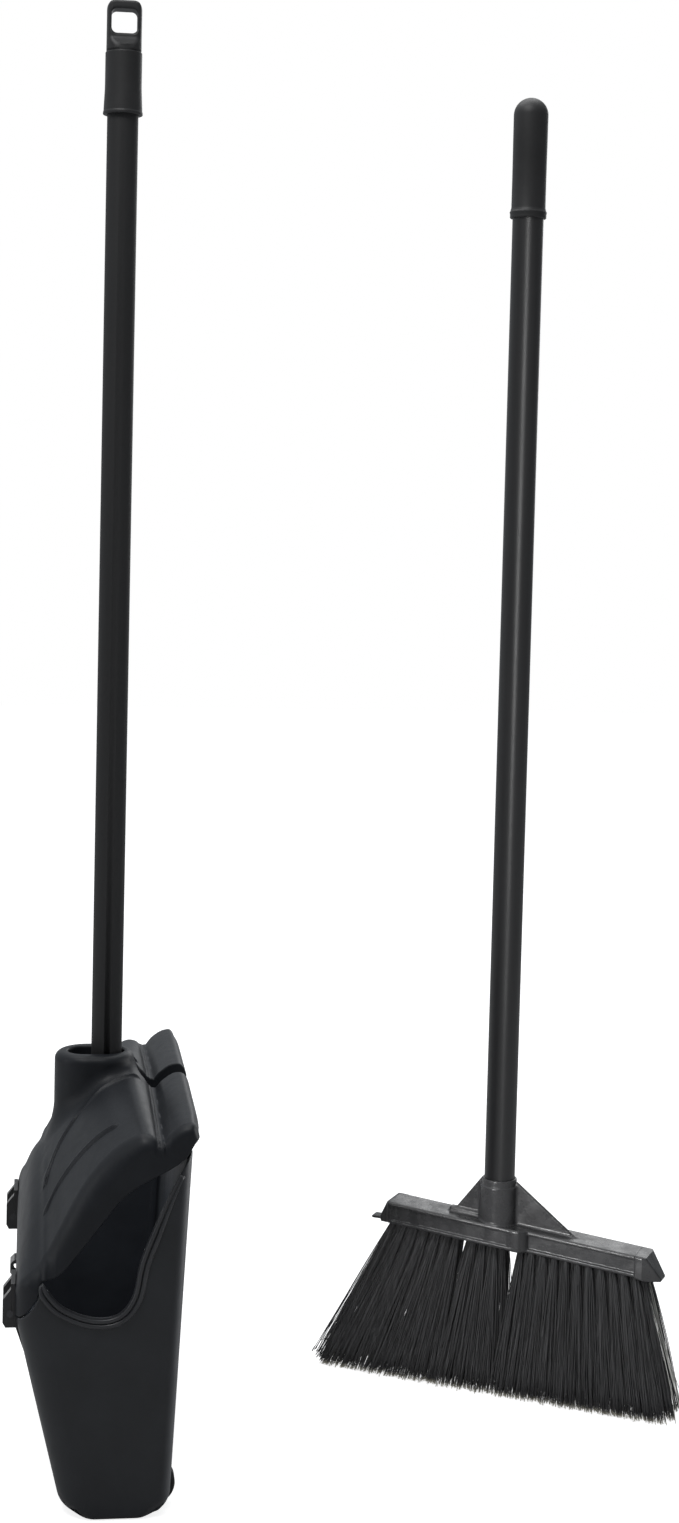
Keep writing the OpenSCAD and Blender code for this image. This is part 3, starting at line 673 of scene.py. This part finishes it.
def hang_cap():
    low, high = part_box("hang_cap")
    foot, top = low.z / MM, high.z / MM
    groove = top - 35
    neck_r, bore_r = 12.3, 11.1

    def field(x, y, z):
        radius = np.hypot(x, y)
        # The sleeve widens towards its foot, and has a narrow rim there
        flare = 13.05 + 0.75 * (1 - ramp(z, foot, foot + 22)) + 0.35 * (1 - ramp(z, foot + 1.5, foot + 3))
        sleeve = both(both(radius - flare, foot - z, 0.7), z - groove + 0.7, 0.6)
        neck = np.maximum(both(radius - neck_r, z - groove - 4, 0.5), foot + 20 - z)
        sleeve = either(sleeve, neck, 0.3)
        # The loop: a round-cornered frame, thick across the handle, that swells into the neck
        across = block(x, 0 * y, z, (-12.8, -50, groove - 12), (12.8, 50, top), 6.5)
        loop = both(across, np.abs(y) - 8 - 4.3 * (1 - ramp(z, groove + 1, groove + 10)), 2.0)
        loop = both(loop, radius - 13.0, 1.5)
        loop = np.maximum(loop, groove + 0.4 - z)
        hole = block(x, 0 * y, z, (-9.2, -50, groove + 12), (9.2, 50, top - 6), 4)
        loop = without(loop, hole, 1.9)
        cap = either(sleeve, loop, 0.4)
        bore = np.maximum(radius - bore_r, z - groove + 6)
        return without(cap, bore, 0.4)

    return moulded("hanging_cap", field, (-15, -15, foot - 1), (15, 15, top + 1), step=0.42, keep=0.9)


# ---- Materials ---------------------------------------------------------------------------

def material(name, base, rough, specular=0.5, metallic=0.0):
    """A Principled material and the tools to add nodes to it."""
    mat = bpy.data.materials.new(name)
    mat.use_nodes = True
    tree = mat.node_tree
    shader = tree.nodes["Principled BSDF"]
    shader.inputs["Base Color"].default_value = (*base, 1)
    shader.inputs["Roughness"].default_value = rough
    shader.inputs["Specular IOR Level"].default_value = specular
    shader.inputs["Metallic"].default_value = metallic
    return mat, tree, shader


def node(tree, kind, **values):
    made = tree.nodes.new(kind)
    for key, value in values.items():
        if key in made.inputs:
            made.inputs[key].default_value = value
        else:
            setattr(made, key, value)
    return made


def noise(tree, place, scale, detail=3.0, rough=0.55, stretch=None):
    """Noise in the object's own space."""
    if stretch is not None:
        moved = node(tree, "ShaderNodeMapping")
        moved.inputs["Scale"].default_value = stretch
        tree.links.new(place, moved.inputs["Vector"])
        place = moved.outputs["Vector"]
    made = node(tree, "ShaderNodeTexNoise", Scale=scale, Detail=detail, Roughness=rough)
    tree.links.new(place, made.inputs["Vector"])
    return made.outputs["Fac"]


def spread(tree, value, low, high, start=0.3, end=0.7):
    made = node(tree, "ShaderNodeMapRange")
    for key, number in (("From Min", start), ("From Max", end), ("To Min", low), ("To Max", high)):
        made.inputs[key].default_value = number
    tree.links.new(value, made.inputs["Value"])
    return made.outputs["Result"]


def mix_colour(tree, share, first, second):
    made = node(tree, "ShaderNodeMix", data_type="RGBA")
    made.clamp_factor = True
    ends = [socket for socket in made.inputs if socket.type == "RGBA"]
    for socket, colour in zip(ends, (first, second)):
        if isinstance(colour, tuple):
            socket.default_value = (*colour, 1)
        else:
            tree.links.new(colour, socket)
    tree.links.new(share, made.inputs["Factor"])
    return [o for o in made.outputs if o.type == "RGBA"][0]


def bump(tree, shader, heights):
    """heights is a list of (height output, distance in metres, strength)."""
    last = None
    for height, distance, strength in heights:
        made = node(tree, "ShaderNodeBump", Strength=strength, Distance=distance)
        tree.links.new(height, made.inputs["Height"])
        if last is not None:
            tree.links.new(last, made.inputs["Normal"])
        last = made.outputs["Normal"]
    tree.links.new(last, shader.inputs["Normal"])


def height_towards(tree, place, toward):
    """How far place, a point or a direction, reaches along toward."""
    made = node(tree, "ShaderNodeVectorMath", operation="DOT_PRODUCT")
    made.inputs[1].default_value = toward
    tree.links.new(place, made.inputs[0])
    return made.outputs["Value"]


# Planes halfway into the pan's walls, corners and heels: where each one faces, and how far out it is, in m
PAN_INSIDE = (
    ((1, 0, -FRONT_LEAN), 0.0414), ((-1, 0, -REAR_LEAN), 0.0279), ((0, 1, 0), 0.1428), ((0, -1, 0), 0.1428),
    ((0, 0, -1), -0.0014), ((-1, 1, -REAR_LEAN), 0.1600), ((-1, -1, -REAR_LEAN), 0.1600),
    ((1, 1, -FRONT_LEAN), 0.1812), ((1, -1, -FRONT_LEAN), 0.1812), ((-1, 0, -1 - REAR_LEAN), 0.0190),
    ((1, 0, -1 - FRONT_LEAN), 0.0305))
MASK_SOFTNESS = 0.0005
DULL_SPECULAR = 0.08


def walls_mask(tree, place):
    """1 on the inner faces of the pan's walls, and 0 on their outer faces."""
    share = None
    for toward, reach in PAN_INSIDE:
        below = spread(tree, height_towards(tree, place, toward), 1, 0, reach - MASK_SOFTNESS, reach)
        if share is not None:
            both_in = node(tree, "ShaderNodeMath", operation="MULTIPLY")
            tree.links.new(share, both_in.inputs[0])
            tree.links.new(below, both_in.inputs[1])
            below = both_in.outputs[0]
        share = below
    return share


def moulded_plastic(name, dark, light, rough, grain, grain_depth, wave=0.0, specular=0.4, worn=0.04,
                    dull_inside=False):
    """Moulded plastic: a fine grained skin, faint flow marks and small scuffs.
    wave is the depth of its uneven flow, and worn is how far its roughness varies."""
    mat, tree, shader = material(name, dark, rough, specular)
    place = node(tree, "ShaderNodeTexCoord").outputs["Object"]
    cloud = noise(tree, place, scale=28, detail=4)
    fine = noise(tree, place, grain, detail=2, rough=0.6)
    scuff = noise(tree, place, scale=90, detail=6, rough=0.7)
    colour = mix_colour(tree, spread(tree, cloud, 0, 1), dark, light)
    tree.links.new(colour, shader.inputs["Base Color"])
    rough_value = spread(tree, scuff, rough - worn, rough + worn)
    tree.links.new(rough_value, shader.inputs["Roughness"])
    if dull_inside:
        inside = walls_mask(tree, place)
        dulled = spread(tree, inside, specular, DULL_SPECULAR, 0, 1)
        tree.links.new(dulled, shader.inputs["Specular IOR Level"])
    heights = [(fine, grain_depth, 0.5)]
    if wave:
        heights.insert(0, (noise(tree, place, scale=45, detail=1), wave, 0.6))
    bump(tree, shader, heights)
    return mat


def coated_tube(name, smoothest, roughest):
    """Black coating on a drawn tube: smooth, with long faint streaks."""
    mat, tree, shader = material(name, (0.014, 0.014, 0.015), smoothest, 0.5)
    place = node(tree, "ShaderNodeTexCoord").outputs["Object"]
    streak = noise(tree, place, scale=60, detail=4, rough=0.6, stretch=(1, 1, 0.04))
    speck = noise(tree, place, scale=1400, detail=2, rough=0.5)
    colour = mix_colour(tree, spread(tree, streak, 0, 1), (0.012, 0.012, 0.0125), (0.019, 0.019, 0.02))
    tree.links.new(colour, shader.inputs["Base Color"])
    tree.links.new(spread(tree, streak, smoothest, roughest), shader.inputs["Roughness"])
    bump(tree, shader, [(speck, 0.00004, 0.4)])
    return mat


def plated_steel(name, dark, light):
    mat, tree, shader = material(name, dark, 0.35, 0.5, metallic=1.0)
    place = node(tree, "ShaderNodeTexCoord").outputs["Object"]
    brushed = noise(tree, place, scale=900, detail=3, rough=0.6, stretch=(1, 0.1, 1))
    tree.links.new(spread(tree, brushed, 0.26, 0.46), shader.inputs["Roughness"])
    tree.links.new(mix_colour(tree, spread(tree, brushed, 0, 1), dark, light), shader.inputs["Base Color"])
    bump(tree, shader, [(brushed, 0.00003, 0.4)])
    return mat


PALE_TIP = 0.0003, 0.0042  # heights above the floor, in m, over which the bleached tips turn dark


def fibre():
    """Bristle filaments: near black, each a little different, with bleached split tips on the floor."""
    mat, tree, shader = material("bristle_fibre", (0.02, 0.02, 0.021), 0.6, 0.15)
    place = node(tree, "ShaderNodeTexCoord").outputs["Object"]
    strand = noise(tree, place, scale=420, detail=2, rough=0.5, stretch=(1, 1, 0.06))
    each = spread(tree, strand, 0, 1, 0.35, 0.65)
    body = mix_colour(tree, each, (0.042, 0.042, 0.043), (0.062, 0.062, 0.064))
    height = node(tree, "ShaderNodeSeparateXYZ")
    tree.links.new(place, height.inputs["Vector"])
    pale = spread(tree, height.outputs["Z"], 1.0, 0.0, *PALE_TIP)
    tree.links.new(mix_colour(tree, pale, body, (0.55, 0.52, 0.43)), shader.inputs["Base Color"])
    tree.links.new(spread(tree, strand, 0.52, 0.68), shader.inputs["Roughness"])
    return mat


def pale_fibre():
    mat, tree, shader = material("pale_fibre", (0.4, 0.4, 0.38), 0.4, 0.4)
    place = node(tree, "ShaderNodeTexCoord").outputs["Object"]
    tone = noise(tree, place, scale=60, detail=2)
    colour = mix_colour(tree, spread(tree, tone, 0, 1), (0.22, 0.22, 0.21), (0.5, 0.5, 0.47))
    tree.links.new(colour, shader.inputs["Base Color"])
    return mat


# Each plastic has two tones, its roughness, and the scale and depth of its grain
PAN_SKIN = (0.0100, 0.0112, 0.0135), (0.0145, 0.0162, 0.0195), 0.44, 1500, 0.00009
# The rim bead's skin is a lighter copy of the pan's own plastic: painted sheen standing in for the light
# caught by the rolled rim
RIM_SKIN_PAINTED_SHEEN = (0.022, 0.023, 0.026), (0.030, 0.031, 0.034), 0.36, 1500, 0.00006
CAP_SKIN = (0.019, 0.019, 0.0195), (0.028, 0.028, 0.029), 0.5, 1900, 0.00005
HEAD_SKIN = (0.02, 0.02, 0.0207), (0.034, 0.034, 0.0353), 0.29, 500, 0.0003
WHEEL_SKIN = (0.008, 0.008, 0.008), (0.014, 0.014, 0.014), 0.5, 1500, 0.00008
HOOD_PLASTIC = moulded_plastic("hood_plastic", *PAN_SKIN, specular=0.2)
PAN_PLASTIC = moulded_plastic("pan_plastic", *PAN_SKIN, dull_inside=True)
RIM_PLASTIC_PAINTED_SHEEN = moulded_plastic("rim_plastic_painted_sheen", *RIM_SKIN_PAINTED_SHEEN)
CAP_PLASTIC = moulded_plastic("cap_plastic", *CAP_SKIN)
HEAD_PLASTIC = moulded_plastic("head_plastic", *HEAD_SKIN, wave=0.0024, specular=0.3, worn=0.13)
WHEEL_PLASTIC = moulded_plastic("wheel_plastic", *WHEEL_SKIN)
SATIN_COAT = coated_tube("satin_black_coat", 0.34, 0.46)
MATT_COAT = coated_tube("matt_black_coat", 0.54, 0.64)
STEEL = plated_steel("plated_steel", (0.38, 0.38, 0.39), (0.52, 0.52, 0.53))
DARK_STEEL = plated_steel("blackened_steel", (0.05, 0.05, 0.052), (0.08, 0.08, 0.084))
FIBRE = fibre()
PALE_FIBRE = pale_fibre()


def dress(obj, mat):
    obj.data.materials.clear()
    obj.data.materials.append(mat)


def put(obj, body, nodes, mat):
    """Sets a new piece in the model, in place of CAD nodes."""
    dress(obj, mat)
    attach(obj, body)
    if nodes:
        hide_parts(*nodes)


WELD_REACH = 0.00001
BEVEL_STEPS, SHARP_ANGLE = 3, 35


def soften(name, mat, width):
    """Gives a CAD node its material, and rounds its edges by width, in metres."""
    obj = frame["nodes"][name]
    dress(obj, mat)
    weld = obj.modifiers.new("weld", "WELD")
    weld.merge_threshold = WELD_REACH
    if width:
        edge = obj.modifiers.new("edge", "BEVEL")
        edge.width, edge.segments = width, BEVEL_STEPS
        edge.limit_method, edge.angle_limit = "ANGLE", math.radians(SHARP_ANGLE)
        edge.use_clamp_overlap = True
        even = obj.modifiers.new("even", "WEIGHTED_NORMAL")
        even.keep_sharp = False


put(hood(), "handle", ["hood"], HOOD_PLASTIC)
put(pan(), "pan", ["pan_shell"], PAN_PLASTIC)
put(rim_bead(), "pan", [], RIM_PLASTIC_PAINTED_SHEEN)
put(hang_cap(), "handle", ["hang_cap"], CAP_PLASTIC)
put(broom_head(), "broom", ["broom_head"], HEAD_PLASTIC)
put(broom_grip(), "broom", ["broom_grip"], CAP_PLASTIC)
left_half = bristle_half("bristle_tufts_left", -86, 6.5, -147, 5, seed=11, gap_after=6.3)
put(left_half, "broom", ["bristles_left"], FIBRE)
right_half = bristle_half("bristle_tufts_right", 19.5, 121, 5.6, 144, seed=12)
put(right_half, "broom", ["bristles_right"], FIBRE)
put(strays(), "broom", [], PALE_FIBRE)
for parts, mat, width, slot in (
        (("hinge_bracket_near", "hinge_bracket_far", "hinge_knuckle_near", "hinge_knuckle_far"),
         CAP_PLASTIC, 0.0006, "cap_plastic"),
        (("catch_loop",), CAP_PLASTIC, 0.0004, "cap_plastic"),
        (("socket_bushing",), CAP_PLASTIC, 0.0005, "cap_plastic"),
        (("thread_plug",), CAP_PLASTIC, 0.0002, "cap_plastic"),
        (("wheel_near", "wheel_far"), WHEEL_PLASTIC, 0.0005, "wheel_plastic"),
        (("wheel_pins", "socket_screw", "tuft_staples"), STEEL, 0.0003, "fastener_steel"),
        (("bracket_rivets", "knuckle_rivets", "hinge_pins"), DARK_STEEL, 0.0003, "fastener_steel"),
        (("pan_tube",), MATT_COAT, 0, "tube_coat"),
        (("broom_tube",), SATIN_COAT, 0, "tube_coat")):
    for part in parts:
        soften(part, mat, width)


# ---- Stage -------------------------------------------------------------------------------

# In metres and watts from here on
FLOOR_HALF = 6.0
FLOOR_GLOW = 0.82  # brings the floor up to the photograph's white for the eye
# From the eye outwards: heading, tilt down and roll, in degrees
CAMERA_TURN = 7.6, 4.0, 1.4
CAMERA_AT = -0.0574, -1.6682, 0.692
LENS, SENSOR_WIDTH, SHIFT_Y = 54.4, 36, -0.063
# The world's light on the object is two slopes: where each faces, its start and end, and its strength at them
SKY = (((-0.35, 0.93, 0.1), -0.35, 0.8, 0.14, 0.48), ((0, 0, 1), 0.2, 1.0, 0.0, 0.3))
# Area lights: name, place, target, width, height and power, then the pieces it falls on if not all
BROOM_FOOT, BRISTLES = (0.31, 0.07, 0.13), (0.31, 0.07, 0.06)
LIGHTS = (
    ("top_softbox", (0.1, 0.7, 2.6), (0.15, 0, 0.2), 2.2, 1.4, 27, None),
    ("back_softbox", (1.5, 2.4, 1.25), (0.3, 0, 0.2), 1.6, 1.2, 11, None),
    ("right_rim", (1.9, 0.4, 0.5), (0.1, 0, 0.15), 1.0, 1.0, 85, ("pan_body", "pan_rim")),
    ("right_rim_top", (1.9, 0.4, 0.5), (0.1, 0, 0.25), 1.0, 1.0, 12, ("hood_cover",)),
    ("left_rim", (-2.0, -0.35, 0.7), (0.0, 0, 0.2), 0.7, 1.3, 5, ("hood_cover", "pan_body", "pan_rim")),
    ("broom_strip", (-0.02, -2.3, 0.75), (0.31, 0.07, 0.6), 0.3, 1.4, 22, ("broom_tube",)),
    ("head_side", (-0.75, -0.9, 0.4), BROOM_FOOT, 0.6, 0.5, 40, ("broom_block", "thread")),
    ("bristle_side", (-0.4, -1.3, 0.3), BRISTLES, 0.9, 0.5, 15, ("bristle", "stray")),
    ("front_softbox", (-0.5, -1.0, 2.3), (0.1, 0, 0.25), 1.0, 0.6, 20, None),
    ("rear_softbox", (-1.6, 1.9, 1.0), (0.0, 0, 0.1), 1.0, 1.0, 26,
     ("pan_body", "bracket", "hinge", "catch")))
CAVITY_AT, CAVITY_POWER, CAVITY_R = (-0.01, 0, 0.13), 0.55, 0.03


def floor():
    half = FLOOR_HALF
    mesh = bpy.data.meshes.new("floor")
    corners = [(-half, -half, 0), (half, -half, 0), (half, half, 0), (-half, half, 0)]
    mesh.from_pydata(corners, [], [(0, 1, 2, 3)])
    obj = bpy.data.objects.new("floor", mesh)
    bpy.context.scene.collection.objects.link(obj)
    mat, tree, shader = material("pale_floor", (0.52, 0.52, 0.52), 0.8, 0.1)
    # The eye sees a white floor with the object's soft shadow, and the object a plainer one
    path = node(tree, "ShaderNodeLightPath")
    shader.inputs["Emission Color"].default_value = (1, 1, 1, 1)
    glow = spread(tree, path.outputs["Is Camera Ray"], 0.0, FLOOR_GLOW, 0, 1)
    tree.links.new(glow, shader.inputs["Emission Strength"])
    dress(obj, mat)


def area_light(name, place, target, size_x, size_y, power, lit_names):
    """A rectangular light. If there are lit_names, it falls only on objects whose names start with them."""
    light = bpy.data.lights.new(name, "AREA")
    light.shape = "RECTANGLE"
    light.size, light.size_y = size_x, size_y
    light.energy = power
    obj = bpy.data.objects.new(name, light)
    obj.location = place
    obj.rotation_euler = (Vector(target) - Vector(place)).to_track_quat("-Z", "Y").to_euler()
    bpy.context.scene.collection.objects.link(obj)
    if lit_names:
        lit = bpy.data.collections.new(name + "_lit")
        for piece in bpy.context.scene.objects:
            if piece.name.startswith(lit_names):
                lit.objects.link(piece)
        obj.light_linking.receiver_collection = lit


def cavity_fill():
    """A small lamp inside the pan, which the photograph's retouched inside needs."""
    light = bpy.data.lights.new("cavity_fill", "POINT")
    light.energy, light.shadow_soft_size = CAVITY_POWER, CAVITY_R
    obj = bpy.data.objects.new("cavity_fill", light)
    obj.location = CAVITY_AT
    obj.visible_glossy = False
    bpy.context.scene.collection.objects.link(obj)


def world():
    """A white studio to the eye. To the object it is bright behind and overhead, and dim in front."""
    made = bpy.data.worlds.new("studio")
    bpy.context.scene.world = made
    made.use_nodes = True
    tree = made.node_tree
    tree.nodes.clear()
    out = node(tree, "ShaderNodeOutputWorld")
    seen = node(tree, "ShaderNodeBackground", Color=(1, 1, 1, 1), Strength=1.0)
    felt = node(tree, "ShaderNodeBackground", Color=(0.92, 0.96, 1, 1))
    way = node(tree, "ShaderNodeTexCoord").outputs["Generated"]
    parts = [spread(tree, height_towards(tree, way, toward), low, high, start, end)
             for toward, start, end, low, high in SKY]
    total = node(tree, "ShaderNodeMath", operation="ADD")
    tree.links.new(parts[0], total.inputs[0])
    tree.links.new(parts[1], total.inputs[1])
    tree.links.new(total.outputs[0], felt.inputs["Strength"])
    path = node(tree, "ShaderNodeLightPath")
    mix = node(tree, "ShaderNodeMixShader")
    tree.links.new(path.outputs["Is Camera Ray"], mix.inputs[0])
    tree.links.new(felt.outputs[0], mix.inputs[1])
    tree.links.new(seen.outputs[0], mix.inputs[2])
    tree.links.new(mix.outputs[0], out.inputs["Surface"])


def camera():
    """A long lens at the height of the handles' upper part, a little left of the pan."""
    yaw, pitch, roll = (math.radians(a) for a in CAMERA_TURN)
    forward = Vector((math.sin(yaw) * math.cos(pitch), math.cos(yaw) * math.cos(pitch), -math.sin(pitch)))
    right = Vector((math.cos(yaw), -math.sin(yaw), 0))
    up = right.cross(forward)
    right, up = (right * math.cos(roll) + up * math.sin(roll), up * math.cos(roll) - right * math.sin(roll))
    data = bpy.data.cameras.new("camera")
    data.lens, data.sensor_width, data.shift_y = LENS, SENSOR_WIDTH, SHIFT_Y
    obj = bpy.data.objects.new("camera", data)
    basis = Matrix((right, up, -forward)).transposed()
    obj.matrix_world = Matrix.Translation(CAMERA_AT) @ basis.to_4x4()
    bpy.context.scene.collection.objects.link(obj)
    bpy.context.scene.camera = obj


floor()
world()
for setting in LIGHTS:
    area_light(*setting)
cavity_fill()
camera()
bpy.context.scene.view_settings.view_transform = "Standard"
